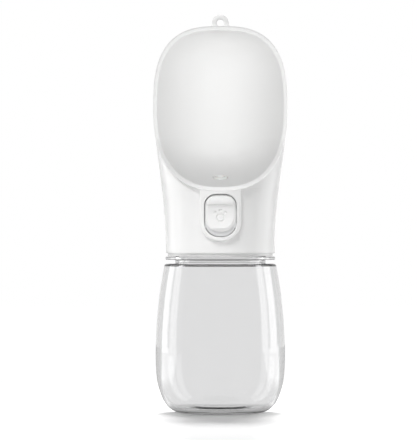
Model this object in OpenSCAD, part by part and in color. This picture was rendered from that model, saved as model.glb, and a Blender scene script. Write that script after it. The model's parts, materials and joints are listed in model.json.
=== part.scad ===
// Dog travel water bottle: a clear bottle with a screw-on drinking head.
// The head holds a spoon-shaped bowl and a push button that opens a valve.
// Units are millimetres. +Z is up and the front faces -Y.
// The origin is the centre of the flat that the bottle stands on.

/* [Bottle] */
// Widest diameter of the bottle
bottle_d = 70; // [67:0.5:73]
// Height at which the bottle is widest
belly_z = 32; // [26:1:38]
// Diameter of the bottle at its shoulder
shoulder_d = 60.4; // [59:0.2:62]
// Height of the top of the shoulder
shoulder_z = 80.8; // [76:0.2:84]
// Diameter of the flat that the bottle stands on
base_d = 38; // [32:1:44]
// Wall thickness of the bottle
bottle_wall = 1.6; // [1.2:0.1:2.2]
// How far the middle of the base is pushed in
punt_h = 1.6; // [0.8:0.1:3]
// Outer diameter of the neck
neck_d = 49; // [48:0.2:49.6]
// Length of the neck above its flange
neck_len = 11.4; // [11:0.2:13]
// Diameter of the flange round the neck
flange_d = 59.4; // [57:0.2:60.4]
// Thickness of the flange
flange_t = 1.6; // [1.2:0.1:2.2]
// Space between the shoulder and the flange
flange_gap = 2.2; // [1.6:0.2:3]

/* [Screw thread] */
// Rise of the thread in one turn
thread_lead = 4; // [3.6:0.1:4.4]
// Turns of thread on each part
thread_turns = 1.25; // [1:0.05:1.4]
// How far each thread stands out of its wall
thread_depth = 1.2; // [1:0.05:1.3]
// Height of a thread at its root
thread_root_h = 1.9; // [1.6:0.1:2]
// Height of a thread at its crest
thread_crest_h = 0.8; // [0.5:0.1:1]
// Radial space between the neck and the threaded cap
thread_space = 1.7; // [1.65:0.05:1.8]

/* [Head] */
// Outer diameter of the collar at its lower edge
collar_d = 59; // [58.6:0.2:60]
// Widest width of the head
head_w = 72.6; // [69:0.2:76]
// Height of the lower edge of the collar
collar_z = 86.3; // [86:0.1:86.6]
// Height at which the head is widest
widest_z = 165; // [162:1:168]
// Height of the top of the rim
head_top_z = 209.2; // [205:0.2:213]
// Height of the lowest point of the rim
chin_z = 119.9; // [119.6:0.1:120.6]
// How far the back of the head bulges behind the bottle's axis
back_depth = 31; // [30.4:0.2:33]
// How far the chin reaches in front of the bottle's axis
chin_reach = 31; // [30:0.2:31.6]
// Wall thickness of the head shell
shell_wall = 2; // [1.6:0.1:2.4]

/* [Bowl] */
// Width of the flat rim seen from the front
rim_w = 2.4; // [2:0.1:3]
// Depth of the rim band from front to back
rim_depth = 3; // [2.4:0.1:3.6]
// Wall thickness of the bowl
bowl_wall = 1.8; // [1.4:0.1:2.1]
// Slope of the bowl's floor down to the chin, in degrees
floor_slope = 14; // [12:0.5:16]
// Diameter of the water outlet in the floor
outlet_d = 7.4; // [7.4:0.1:8.4]
// How far the outlet lies in front of the bottle's axis
outlet_y = 14.5; // [14:0.1:15]

/* [Button] */
// Width of the slot that the button slides in
slot_w = 17.4; // [17:0.1:18]
// Height of the slot
slot_h = 23; // [22.8:0.1:23.4]
// Height of the lower end of the slot
slot_z = 95.3; // [95:0.1:95.4]
// Width of the wall round the slot
bezel_wall = 2.4; // [2:0.1:3]
// How far the bezel stands proud of the collar
bezel_proud = 2.3; // [2:0.1:2.6]
// Clearance round the button cap
cap_gap = 0.55; // [0.4:0.05:0.7]
// Height of the button cap
cap_h = 19.8; // [19.4:0.1:19.9]
// How far the cap slides down to lock
lock_travel = 2.5; // [2:0.1:2.6]
// How far the button is pushed in
press_travel = 2.2; // [1.8:0.1:2.3]

/* [Valve] */
// Diameter of the water hole in the deck
seat_d = 13; // [12:0.2:14]
// Diameter of the valve stem
stem_d = 3.6; // [3.2:0.1:4]
// Diameter of the push rod
rod_d = 4.8; // [4.4:0.1:5.2]
// Diameter of the lever's pin
pin_d = 2; // [1.6:0.1:2.4]
// Diameter of the spring's wire
wire_d = 0.6; // [0.5:0.05:0.7]
// Turns of the valve spring
spring_turns = 4; // [3:0.5:4.5]
// Thickness of the deck that carries the valve
deck_t = 2.5; // [2.2:0.1:3]
// Thickness of the neck seal
seal_t = 1.3; // [1:0.1:1.6]

/* [Lanyard] */
// Diameter of the lanyard hole
lanyard_hole_d = 3.9; // [3.4:0.1:4]
// Wall round the lanyard hole
lanyard_wall = 2.6; // [2.2:0.1:3.2]
// Thickness of the lanyard lug
lanyard_t = 3; // [2.4:0.1:4]

/* [Hidden] */
$fn = 96;

// Fits, each named for what it separates.
run_fit = 0.05;      // a pin or shaft in its bore
touch_gap = 0.05;    // faces of one assembly that meet
seat_gap = 0.1;      // a seal face and the seat it closes on
slide_gap = 0.2;     // a sliding face
part_gap = 0.3;      // a face that must never touch
eps = 0.01;          // overshoot of a cut

// Heights of the neck, from the shoulder up.
flange_z = shoulder_z + flange_gap;
flange_top = flange_z + flange_t;
neck_top = flange_top + neck_len;
deck_z = neck_top + seal_t;
deck_top = deck_z + deck_t;

// Radii of the neck and of the threaded cap round it.
neck_r = neck_d / 2;
neck_in_r = neck_r - bottle_wall;
cap_bore_r = neck_r + thread_space;
cap_wall = 1.2;
sleeve_r = cap_bore_r + cap_wall;
shell_bore_r = sleeve_r + seat_gap;
cap_lip_in = 1.1;
cap_lip_r = collar_d / 2 - cap_lip_in;
cap_lip_z = flange_top + part_gap;
thread_rise = 3.8;
thread_z = flange_top + thread_rise;
thread_taper = 40;
thread_sink = 0.4;

// The valve stands on the bottle's axis.
hub_r = 3.9;
hub_boss_h = 1;
stem_r = stem_d / 2;
plug_lap = 1.8;
plug_r = seat_d / 2 + plug_lap;
plug_h = 4.8;
plug_foot_h = 1.2;
plug_foot_r = 3.4;
spring_len = 6.6;
spring_r = 3.2;
retainer_r = 4.2;
retainer_t = 1.2;
spring_z = deck_top + hub_boss_h;
retainer_z = spring_z + spring_len;
stem_top = retainer_z + retainer_t;

// The rod, and the lever that turns its push into the stem's stroke.
rod_r = rod_d / 2;
pad_r = 1.5;
pad_gap = 0.15;
lever_y = -11;
lever_rise = 2.6;
lever_z = deck_top + lever_rise;
lever_hub_r = 2.2;
lever_half_w = 2;
lever_hub_half = 3.3;
rod_z = stem_top + pad_r + pad_gap;
rod_tip_y = lever_y - pad_r - pad_gap;
ear_t = 1.8;
ear_half = lever_hub_half + part_gap;
ear_r = 2.2;

// The dry housing over the lever.
gasket_t = 0.8;
housing_y = -4;
housing_r = 15;
housing_wall = 1.6;
housing_flange_r = 19.5;
housing_flange_t = 2;
housing_z = deck_top + gasket_t;
housing_head_room = 5;
housing_top = rod_z + housing_head_room;
housing_screw_r = 17.2;
screw_r = 1.2;
screw_head_r = 2.2;
screw_head_h = 1.5;
screw_angles = [90, 210, 330];
screw_boss_r = 2.6;
screw_boss_h = 2.8;
bush_r = 5;
bush_front_y = -24;
oring_t = 1.5;
oring_in = 2.1;
oring_y = bush_front_y + oring_in;
gland_t = 1;

// The spout from the housing to the bowl's outlet.
outlet_r = outlet_d / 2;
spout_r = outlet_r - slide_gap;
spout_wall = 0.9;
spout_bore_r = spout_r - spout_wall;
spout_shoulder_r = 5;
outlet_boss_r = 6.2;

// The head's outline. Half widths and depths are functions of height.
half_w = head_w / 2;
rim_up = head_top_z - widest_z;
rim_down = widest_z - chin_z;
up_power = 2.8;
down_power = 2.45;
dome_power = 2.2;
sweep_z = 148;
sweep_power = 1.4;
edge_y = -3;
rim_round = 0.8;
shell_inset = 0.3;
split_below = 0.5;
split_z = chin_z - split_below;
split_half = 10;
seam = 0.1;
seam_lap = 0.4;

function ease(t) = t * t * (3 - 2 * t);
function oval(t, power) = pow(max(0, 1 - pow(abs(t), power)), 1 / power);

// Half width of the head below its widest height.
function flare(z) = collar_d / 2 + (half_w - collar_d / 2)
    * ease(pow(max(0, (z - collar_z) / (widest_z - collar_z)), 1.2));

// Half width of the rim, seen from the front.
function rim_half(z) = z > widest_z
    ? half_w * oval((z - widest_z) / rim_up, up_power)
    : half_w * oval((z - widest_z) / rim_down, down_power);

// Half width and rear depth of the shell.
function shell_half(z) = z > widest_z ? rim_half(z) - shell_inset * rim_half(z) / half_w
    : flare(z) - seam - (shell_inset - seam) * ease(max(0, (z - split_z) / (widest_z - split_z)));
function shell_back(z) = z > widest_z
    ? back_depth * oval((z - widest_z) / rim_up, dome_power)
    : flare(z) - seam + (back_depth - half_w + seam) * ease(max(0, (z - split_z) / (widest_z - split_z)));

// Depth of the line where the rim meets the shell. It sweeps forward to the chin.
function rim_y(z) = edge_y - (chin_reach + edge_y)
    * pow(min(1, max(0, (sweep_z - z) / (sweep_z - chin_z))), sweep_power);

// ---------------------------------------------------------------- helpers

// A closed solid from a stack of rings that all have as many points. Tips close its ends.
module ring_stack(rings, first_tip, last_tip) {
    n = len(rings[0]);
    m = len(rings);
    points = concat([for (ring = rings) each ring], [first_tip, last_tip]);
    sides = [for (i = [0:m - 2], j = [0:n - 1]) each
        let(a = i * n + j, b = i * n + (j + 1) % n) [[a, b, b + n], [a, b + n, a + n]]];
    first_fan = [for (j = [0:n - 1]) [m * n, (j + 1) % n, j]];
    last_fan = [for (j = [0:n - 1]) [m * n + 1, (m - 1) * n + j, (m - 1) * n + (j + 1) % n]];
    polyhedron(points, concat(sides, first_fan, last_fan), convexity = 6);
}

// The middle of a ring of points.
function middle(ring) = [for (k = [0:2]) [for (p = ring) p[k]] * [for (p = ring) 1] / len(ring)];

// A ridge that winds round Z, with a tapered start and end. A negative depth points inward.
module thread_ridge(root_r, depth, start_angle, start_z) {
    sink = thread_sink * sign(depth);
    steps = ceil(thread_turns * 24);
    rings = [for (i = [0:steps])
        let(turned = 360 * thread_turns * i / steps,
            left = 360 * thread_turns - turned,
            grow = max(0.08, min(1, turned / thread_taper, left / thread_taper)),
            a = start_angle + turned,
            z = start_z + thread_lead * turned / 360,
            crest_r = root_r + depth * grow,
            low = [for (p = [[root_r - sink, -thread_root_h / 2], [crest_r, -thread_crest_h / 2],
                    [crest_r, thread_crest_h / 2], [root_r - sink, thread_root_h / 2]])
                [p[0] * cos(a), p[0] * sin(a), z + p[1]]])
        depth > 0 ? low : [low[3], low[2], low[1], low[0]]];
    ring_stack(rings, middle(rings[0]), middle(rings[steps]));
}

// A coil of round wire that winds up Z.
module wire_coil(radius, wire_r, low_z, high_z, turns) {
    per_turn = 18;
    sides = 8;
    steps = turns * per_turn;
    rings = [for (i = [0:steps])
        let(a = 360 * i / per_turn, z = low_z + (high_z - low_z) * i / steps)
        [for (k = [0:sides - 1]) let(r = radius - wire_r * cos(360 * k / sides))
            [r * cos(a), r * sin(a), z + wire_r * sin(360 * k / sides)]]];
    ring_stack(rings, middle(rings[0]), middle(rings[steps]));
}

// A rectangle with true round corners, standing on y = 0.
module round_rect(width, height, corner) {
    translate([-width / 2, corner]) square([width, height - 2 * corner]);
    translate([corner - width / 2, 0]) square([width - 2 * corner, height]);
    for (x = [-1, 1], y = [corner, height - corner])
        translate([x * (width / 2 - corner), y]) circle(corner);
}

// A flat outline in X and Z, given its depth along Y.
module along_y(front_y, back_y, low_z = 0) {
    translate([0, back_y, low_z]) rotate([90, 0, 0]) linear_extrude(back_y - front_y) children();
}

// A flat outline in Y and Z, given its width along X and centred on it.
module along_x(width) {
    rotate([90, 0, 90]) translate([0, 0, -width / 2]) linear_extrude(width) children();
}

// A rod along Y.
module rod_y(radius, front_y, back_y, z) {
    translate([0, back_y, z]) rotate([90, 0, 0]) cylinder(r = radius, h = back_y - front_y);
}

// A rod along X, centred on it.
module rod_x(radius, width, y, z) {
    translate([-width / 2, y, z]) rotate([0, 90, 0]) cylinder(r = radius, h = width);
}

// Places its children at the screws of the valve housing.
module at_housing_screws() {
    for (a = screw_angles) translate([housing_screw_r * cos(a), housing_y + housing_screw_r * sin(a), 0])
        children();
}

// ---------------------------------------------------------------- bottle

// Outer radius of the bottle's side between the base and the shoulder.
function side_r(z) = z < belly_z
    ? base_d / 2 + (bottle_d - base_d) / 2 * oval(1 - z / belly_z, 2.55)
    : bottle_d / 2 - (bottle_d - shoulder_d) / 2 * pow((z - belly_z) / (shoulder_z - belly_z), 2);

shoulder_round = 1.4;
shoulder_sharp = 0.1;
foot_steps = 12;
side_steps = 9;
foot_in = 2.6;
edge_cut = 0.4;

// The bottle's section, drawn at a distance inside its outer face.
function bottle_side(inset) = concat(
    [for (i = [0:foot_steps]) let(z = belly_z * (1 - cos(90 * i / foot_steps)))
        [side_r(z) - inset * sin(90 * i / foot_steps), z + inset * cos(90 * i / foot_steps)]],
    [for (i = [1:side_steps]) let(z = belly_z + (shoulder_z - shoulder_round - belly_z) * i / side_steps)
        [side_r(z) - inset, z]],
    [for (a = [30:30:90]) let(r = max(shoulder_sharp, shoulder_round - inset))
        [side_r(shoulder_z) - max(inset + r, shoulder_round) + r * cos(a),
            shoulder_z - max(inset, shoulder_round) + r * sin(a)]]);

module bottle() {
    color([0.86, 0.88, 0.9, 0.35]) {
        rotate_extrude($fn = 128) polygon(concat(
            [[0, punt_h], [base_d / 2 - 2 * foot_in, 0.9 * punt_h], [base_d / 2 - foot_in, 0]],
            bottle_side(0),
            [[neck_r, shoulder_z], [neck_r, flange_z], [flange_d / 2 - edge_cut, flange_z],
                [flange_d / 2, flange_z + edge_cut], [flange_d / 2, flange_top - edge_cut],
                [flange_d / 2 - edge_cut, flange_top], [neck_r, flange_top], [neck_r, neck_top - edge_cut],
                [neck_r - edge_cut, neck_top], [neck_in_r, neck_top], [neck_in_r, shoulder_z - bottle_wall]],
            [for (i = [len(bottle_side(0)) - 1:-1:0]) bottle_side(bottle_wall)[i]],
            [[base_d / 2 - foot_in - 0.3, bottle_wall],
                [base_d / 2 - 2 * foot_in - 0.3, 0.9 * punt_h + bottle_wall],
                [0, punt_h + bottle_wall]]));
        thread_ridge(neck_r, thread_depth, 0, thread_z);
    }
}

// How far the seal reaches in past the neck's wall.
seal_in = 0.4;

module neck_seal() {
    color([0.93, 0.93, 0.92]) translate([0, 0, neck_top]) difference() {
        cylinder(r = cap_bore_r - part_gap, h = seal_t);
        translate([0, 0, -eps]) cylinder(r = neck_in_r - seal_in, h = seal_t + 2 * eps);
    }
}

// ---------------------------------------------------------------- threaded cap

rear_wall_h = 3.2;
rear_wall_t = 3.4;
rear_wall_top = deck_top + rear_wall_h;
front_gap = 20.4;
seat_spoke_w = 1.6;

// The screws that hold the shell stand in a ring of bosses inside the collar.
shell_screw_angles = [20, 90, 160];
shell_screw_ring = shell_bore_r - screw_head_r - part_gap;
shell_boss_r = sleeve_r - shell_screw_ring - seat_gap;
pilot_depth = 1;

module threaded_cap() {
    color([0.9, 0.9, 0.9]) {
        thread_ridge(cap_bore_r, -thread_depth, 90, thread_z + thread_lead / 4 - thread_lead / 2);
        difference() {
            union() {
                rotate_extrude() polygon([[cap_bore_r, cap_lip_z], [cap_lip_r, cap_lip_z],
                    [cap_lip_r, collar_z - touch_gap], [sleeve_r, collar_z - touch_gap],
                    [sleeve_r, rear_wall_top], [sleeve_r - rear_wall_t, rear_wall_top],
                    [sleeve_r - rear_wall_t, deck_top], [0, deck_top], [0, deck_z], [cap_bore_r, deck_z]]);
                translate([0, 0, deck_z]) cylinder(r = hub_r, h = deck_t + hub_boss_h);
                for (side = [-1, 1]) lever_ear(side);
                at_housing_screws() translate([0, 0, deck_z - screw_boss_h])
                    cylinder(r = screw_boss_r, h = screw_boss_h + eps);
                at_shell_screws() translate([0, 0, deck_top - eps])
                    cylinder(r = shell_boss_r, h = rear_wall_h + eps);
            }
            translate([0, 0, deck_z - eps]) difference() {
                cylinder(r = seat_d / 2, h = deck_t + 2 * eps);
                cylinder(r = hub_r, h = deck_t + 2 * eps);
                for (a = [30, 150, 270]) rotate([0, 0, a]) translate([0, -seat_spoke_w / 2, 0])
                    cube([seat_d / 2 + 1, seat_spoke_w, deck_t + 2 * eps]);
            }
            translate([0, 0, deck_z - eps]) cylinder(r = stem_r + run_fit, h = deck_t + hub_boss_h + 1);
            translate([-front_gap / 2, -sleeve_r - 1, deck_top])
                cube([front_gap, sleeve_r + 1 + housing_y, rear_wall_top - deck_top + 1]);
            rod_x(pin_d / 2 + touch_gap / 2, 4 * ear_half, lever_y, lever_z);
            at_housing_screws() translate([0, 0, deck_z - screw_boss_h + pilot_depth])
                cylinder(r = screw_r, h = screw_boss_h + deck_t);
            at_shell_screws() translate([0, 0, deck_top - pilot_depth])
                cylinder(r = screw_r, h = rear_wall_h + 2 * pilot_depth);
        }
        difference() {
            for (side = [-1, 1]) lever_ear(side);
            rod_x(pin_d / 2 + touch_gap / 2, 4 * ear_half, lever_y, lever_z);
        }
    }
}

// One of the two ears that hold the lever's pin.
module lever_ear(side) {
    translate([side * (ear_half + ear_t / 2), 0, 0]) {
        rod_x(ear_r, ear_t, lever_y, lever_z);
        translate([-ear_t / 2, lever_y - ear_r, deck_top - eps])
            cube([ear_t, 2 * ear_r, lever_z - deck_top + eps]);
    }
}

// ---------------------------------------------------------------- valve housing

module housing_gasket() {
    color([0.35, 0.36, 0.38]) translate([0, housing_y, deck_top]) difference() {
        cylinder(r = housing_flange_r, h = gasket_t);
        translate([0, 0, -eps]) cylinder(r = housing_r - housing_wall, h = gasket_t + 2 * eps);
        translate([0, -housing_y, -eps]) at_housing_screws()
            cylinder(r = screw_r + touch_gap, h = gasket_t + 2 * eps);
    }
}

module valve_housing() {
    color([0.82, 0.83, 0.84]) difference() {
        union() {
            translate([0, housing_y, housing_z]) cylinder(r = housing_flange_r, h = housing_flange_t);
            translate([0, housing_y, housing_z]) cylinder(r = housing_r, h = housing_top - housing_z);
            rod_y(bush_r, bush_front_y, housing_y - housing_r + bush_r, rod_z);
            translate([0, -outlet_y, housing_top - housing_wall])
                cylinder(r = spout_shoulder_r, h = seal_low_z - housing_top + housing_wall);
            translate([0, -outlet_y, housing_top - housing_wall])
                cylinder(r = spout_r, h = spout_top - housing_top + housing_wall);
        }
        translate([0, housing_y, housing_z - eps])
            cylinder(r = housing_r - housing_wall, h = housing_top - housing_z - housing_wall);
        rod_y(rod_r + run_fit, bush_front_y - 1, housing_y - bush_r, rod_z);
        rod_y(rod_r + oring_t, bush_front_y - 1, oring_y + oring_t / 2, rod_z);
        translate([0, -outlet_y, housing_top - 2 * housing_wall])
            cylinder(r = spout_bore_r, h = spout_top - housing_top + 3 * housing_wall);
        at_housing_screws() translate([0, 0, housing_z - 1])
            cylinder(r = screw_r + touch_gap, h = housing_flange_t + 2);
    }
}

module housing_screws() {
    color([0.75, 0.76, 0.78]) at_housing_screws() {
        translate([0, 0, deck_z - screw_boss_h + pilot_depth + part_gap])
            cylinder(r = screw_r - touch_gap,
                h = housing_z + housing_flange_t - deck_z + screw_boss_h - pilot_depth - slide_gap);
        translate([0, 0, housing_z + housing_flange_t]) cylinder(r = screw_head_r, h = screw_head_h);
    }
}

module rod_oring() {
    color([0.15, 0.15, 0.16]) translate([0, oring_y, rod_z]) rotate([90, 0, 0])
        rotate_extrude() translate([rod_r + oring_t / 2, 0]) circle(oring_t / 2 - run_fit, $fn = 32);
}

module rod_gland() {
    color([0.82, 0.83, 0.84]) difference() {
        rod_y(rod_r + oring_t - run_fit, bush_front_y, bush_front_y + gland_t, rod_z);
        rod_y(rod_r + slide_gap, bush_front_y - 1, bush_front_y + gland_t + 1, rod_z);
    }
}

module outlet_seal() {
    color([0.9, 0.9, 0.88]) translate([0, -outlet_y, seal_low_z]) difference() {
        cylinder(r = spout_shoulder_r, h = outlet_seal_t);
        translate([0, 0, -eps]) cylinder(r = spout_r + touch_gap, h = outlet_seal_t + 2 * eps);
    }
}

// ---------------------------------------------------------------- button

slot_corner = 6.5;
cap_corner = slot_corner - cap_gap;
cap_w = slot_w - 2 * cap_gap;
cap_z = slot_z + slot_h - cap_gap / 2 - cap_h;
cap_back_y = -sleeve_r - press_travel - 0.4;
plate_y = cap_back_y + slide_gap;
plate_t = 1.5;
plate_z = deck_top + 0.4;
plate_h = cap_z + cap_h - plate_z;
plate_w = slot_w - 2 * slide_gap;
plate_corner = slot_corner - slide_gap;
foot_half = 2;
foot_h = 2;
foot_z = cap_z + 5.4;
clip_half = 3.4;
clip_h = 3.2;
clip_t = 1;
clip_pin_r = 0.8;

// Front of the cap at the foot of its face and at its ridge.
function front_y(z) = -flare(z) - bezel_proud;
face_low = 1.9;
ridge_low = cap_h - 5.5;

// Points on a curve from one point to another that swells by a given amount along Y.
function bowed(a, b, swell, steps) = [for (i = [0:steps]) let(t = i / steps)
    a + (b - a) * t + [4 * swell * t * (1 - t), 0]];

module button_cap() {
    low = cap_z;
    color([0.95, 0.95, 0.95]) {
        intersection() {
            along_y(front_y(low + cap_h) - 2, cap_back_y, low) round_rect(cap_w, cap_h, cap_corner);
            along_x(cap_w + 2) polygon(concat(
                [[cap_back_y, low - 1], [front_y(low) + 1.7, low - 0.01]],
                bowed([front_y(low) - 0.1, low + face_low], [front_y(low) + 1, low + ridge_low], 0.7, 8),
                bowed([front_y(low) - 0.4, low + ridge_low + 0.3],
                    [front_y(low + cap_h) + 2, low + cap_h + 0.01], -0.75, 6),
                [[cap_back_y, low + cap_h + 1]]));
        }
        along_y(cap_back_y - 0.2, plate_y + plate_t + slide_gap, foot_z) translate([-foot_half, 0])
            square([2 * foot_half, foot_h]);
        rod_y(clip_pin_r, plate_y, plate_y + plate_t + slide_gap + clip_t + 0.2, foot_z + foot_h / 2);
    }
}

module button_carrier() {
    color([0.84, 0.85, 0.86]) {
        along_y(plate_y, plate_y + plate_t) difference() {
            union() {
                translate([0, plate_z]) round_rect(plate_w, plate_h, plate_corner);
                translate([-plate_w / 2, plate_z]) square([plate_w, 2 * plate_corner]);
            }
            translate([-foot_half - run_fit * 3, foot_z - lock_travel - slide_gap])
                square([2 * foot_half + run_fit * 6, foot_h + lock_travel + 2 * slide_gap]);
        }
        rod_y(rod_r, plate_y + plate_t - 0.2, rod_tip_y, rod_z);
    }
}

module cap_clip() {
    color([0.8, 0.8, 0.82]) translate([0, 0, foot_z + foot_h / 2]) difference() {
        along_y(plate_y + plate_t + slide_gap, plate_y + plate_t + slide_gap + clip_t, -clip_h / 2)
            round_rect(2 * clip_half, clip_h, 0.8);
        rod_y(clip_pin_r + touch_gap, plate_y, 0, 0);
    }
}

// ---------------------------------------------------------------- valve

module rocker_lever() {
    arm_low = stem_top + 0.4;
    arm_rise = 1.2;
    arm_front = 0.3;
    color([0.78, 0.79, 0.8]) difference() {
        union() {
            rod_x(lever_hub_r, 2 * lever_hub_half, lever_y, lever_z);
            rod_x(pad_r, 2 * lever_half_w, lever_y, rod_z);
            rod_x(pad_r, 2 * lever_half_w, 0, stem_top + pad_gap + pad_r);
            along_x(2 * lever_half_w) polygon([[lever_y - 1.2, lever_z - 0.8],
                [lever_y - arm_front, lever_z + lever_hub_r], [lever_y - arm_front, rod_z],
                [lever_y, rod_z + arm_rise], [0, rod_z + arm_rise], [0, arm_low],
                [lever_y + 3, arm_low], [lever_y + 1.8, arm_low - 1], [lever_y + 1.3, lever_z - 0.8]]);
        }
        rod_x(pin_d / 2 + run_fit, 4 * lever_hub_half, lever_y, lever_z);
    }
}

module lever_pin() {
    color([0.75, 0.76, 0.78]) rod_x(pin_d / 2, 2 * (ear_half + ear_t + slide_gap), lever_y, lever_z);
}

module valve_stem() {
    color([0.88, 0.88, 0.9]) {
        translate([0, 0, deck_z - plug_h - plug_foot_h]) cylinder(r = stem_r,
            h = stem_top - deck_z + plug_h + plug_foot_h);
        translate([0, 0, deck_z - seat_gap - plug_h - plug_foot_h])
            cylinder(r = plug_foot_r, h = plug_foot_h);
    }
}

module valve_plug() {
    top = deck_z - seat_gap;
    rim_h = 0.9;
    color([0.92, 0.92, 0.9]) rotate_extrude() polygon([[stem_r + touch_gap, top - plug_h],
        [plug_foot_r + 0.8, top - plug_h], [plug_r - 0.6, top - rim_h - 0.5], [plug_r, top - rim_h],
        [plug_r, top], [stem_r + touch_gap, top]]);
}

module spring_retainer() {
    color([0.88, 0.88, 0.9]) translate([0, 0, retainer_z]) difference() {
        cylinder(r = retainer_r, h = retainer_t);
        translate([0, 0, -eps]) cylinder(r = stem_r + touch_gap / 2, h = retainer_t + 2 * eps);
    }
}

module valve_spring() {
    color([0.72, 0.73, 0.75]) wire_coil(spring_r, wire_d / 2, spring_z + wire_d / 2,
        retainer_z - wire_d / 2, spring_turns);
}

// ---------------------------------------------------------------- bowl

bowl_half = half_w - rim_w;
bowl_up = rim_up - rim_w;
bowl_down = rim_down - rim_w;
lip_z = chin_z + rim_w;
lip_y = -chin_reach - rim_depth + rim_round;
bowl_space = 0.8;
bowl_back = back_depth - shell_wall - bowl_space - bowl_wall;
floor_round = 24;
side_power = 2.3;

// The bowl's wall on the centre line: a curved back that rounds into the sloping floor.
function back_line(z) = z > widest_z
    ? edge_y - rim_depth + rim_round + (bowl_back - edge_y + rim_depth - rim_round)
        * oval((z - widest_z) / bowl_up, dome_power)
    : bowl_back;
function floor_line(z) = lip_y + pow(floor_round, 2) / 4 / (bowl_back - lip_y)
    + (z - lip_z) / tan(floor_slope);
function centre_line(z) = (floor_line(z) + back_line(z)
    - sqrt(pow(floor_line(z) - back_line(z), 2) + pow(floor_round, 2))) / 2;

// Half width of the bowl inside its rim, and the depth of the rim's inner edge.
function bowl_in(z) = bowl_half * (z > widest_z ? oval((z - widest_z) / bowl_up, up_power)
    : oval((z - widest_z) / bowl_down, down_power));
function edge_line(z) = rim_y(z > widest_z ? z : widest_z + (z - widest_z) * rim_down / bowl_down)
    - rim_depth + rim_round;

// Depth of the bowl's face at any point inside the rim.
function bowl_y(x, z) = let(half = bowl_in(z), q = half < 0.05 ? 0 : min(1, abs(x) / half))
    centre_line(z) + (edge_line(z) - centre_line(z)) * pow(q, side_power);

// Height of the floor above the outlet.
outlet_z = lip_z + (-outlet_y - lip_y) * tan(floor_slope);
outlet_seal_t = 0.9;
boss_drop = 5;
spout_drop = 2;
seal_low_z = outlet_z - boss_drop;
spout_top = outlet_z - spout_drop;

rim_points = 72;
face_rows = [0.12, 0.25, 0.38, 0.5, 0.61, 0.7, 0.78, 0.85, 0.91, 0.96];
back_rows = [0.93, 0.85, 0.75, 0.63, 0.5, 0.35, 0.18];

// A point of an oval whose upper and lower halves have their own heights and powers.
function oval_point(angle, half, up, down) = let(power = sin(angle) > 0 ? up_power : down_power)
    [half * sign(cos(angle)) * pow(abs(cos(angle)), 2 / power),
        (sin(angle) > 0 ? up : -down) * pow(abs(sin(angle)), 2 / power)];

// One ring of the bowl's face, or of its rear skin when a wall is given.
function face_ring(share, wall) = [for (i = [0:rim_points - 1])
    let(p = oval_point(360 * i / rim_points, bowl_half, bowl_up, bowl_down) * share,
        x = p[0], z = widest_z + p[1], y = bowl_y(x, z), d = 0.2,
        slope_x = (bowl_y(x + d, z) - bowl_y(x - d, z)) / (2 * d),
        slope_z = (bowl_y(x, z + d) - bowl_y(x, z - d)) / (2 * d),
        normal = [-slope_x, 1, -slope_z] / norm([-slope_x, 1, -slope_z]))
    [x, y, z] + wall * normal];

// One ring of the rim band: how far in from its outer edge, and how far forward of the shell.
function band_ring(inward, forward) = [for (i = [0:rim_points - 1])
    let(a = 360 * i / rim_points,
        outer = oval_point(a, half_w, rim_up, rim_down),
        inner = oval_point(a, bowl_half, bowl_up, bowl_down),
        p = outer + (inner - outer) * inward)
    [p[0], rim_y(widest_z + outer[1]) - forward, widest_z + p[1]]];

module bowl() {
    rings = concat(
        [for (share = face_rows) face_ring(share, 0)],
        [band_ring(1, rim_depth - rim_round), band_ring(0.8, rim_depth - 0.15), band_ring(0.5, rim_depth),
            band_ring(0.2, rim_depth - 0.15), band_ring(0, rim_depth - rim_round), band_ring(0, touch_gap),
            band_ring(0.92, touch_gap)],
        [for (share = back_rows) face_ring(share, bowl_wall)]);
    centre = [0, bowl_y(0, widest_z), widest_z];
    color([0.94, 0.94, 0.93]) {
        difference() {
            union() {
                ring_stack(rings, centre, centre + [0, bowl_wall, 0]);
                outlet_boss();
            }
            translate([0, -outlet_y, outlet_z - boss_drop - 1]) cylinder(r = outlet_r, h = 2 * boss_drop + 2);
        }
        bezel();
    }
}

// The boss under the bowl's floor that presses the outlet seal onto the spout.
module outlet_boss() {
    intersection() {
        translate([0, -outlet_y, seal_low_z + outlet_seal_t]) cylinder(r = outlet_boss_r, h = 2 * boss_drop);
        translate([0, -outlet_y, outlet_z - bowl_wall / 2]) rotate([floor_slope, 0, 0])
            translate([-2, -2, -2] * outlet_boss_r) cube([4, 4, 2] * outlet_boss_r);
    }
}

// The tongue below the chin that frames the button.
module bezel() {
    low = slot_z - bezel_wall;
    outer_w = slot_w + 2 * bezel_wall;
    rows = [for (i = [0:6]) low - 1 + (chin_z + 1.6 - low) * i / 6];
    difference() {
        intersection() {
            rotate_extrude($fn = 128) polygon(concat(
                [for (z = rows) [flare(z) + touch_gap, z]],
                [for (i = [len(rows) - 1:-1:0]) [flare(rows[i]) + bezel_proud, rows[i]]]));
            along_y(-half_w - 4, -10, low) {
                round_rect(outer_w, slot_h + 8, slot_corner + bezel_wall);
                translate([-outer_w / 2, slot_h / 2]) square([outer_w, slot_h]);
            }
        }
        along_y(-half_w - 5, -9, slot_z) round_rect(slot_w, slot_h, slot_corner);
    }
}

// ---------------------------------------------------------------- head shell

shell_rows_low = 12;
front_steps = 6;
back_steps = 26;
dome_angles = [12, 24, 36, 47, 57, 66, 74, 80, 84.5];
row_heights = concat(
    [split_z - seam_lap],
    [for (i = [1:shell_rows_low]) split_z + (widest_z - split_z) * pow(i / shell_rows_low, 1.25)],
    [for (a = dome_angles) widest_z + (rim_up - shell_inset) * pow(sin(a), 2 / up_power)]);

// Half width at which the shell's edge lies, and the depth of that edge.
function edge_half(z) = min(0.9995 * shell_half(z), max(split_half, rim_half(z)));
function edge_depth(z) = max(rim_y(z),
    -shell_half(z) * sqrt(1 - pow(edge_half(z) / shell_half(z), 2)));

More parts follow.
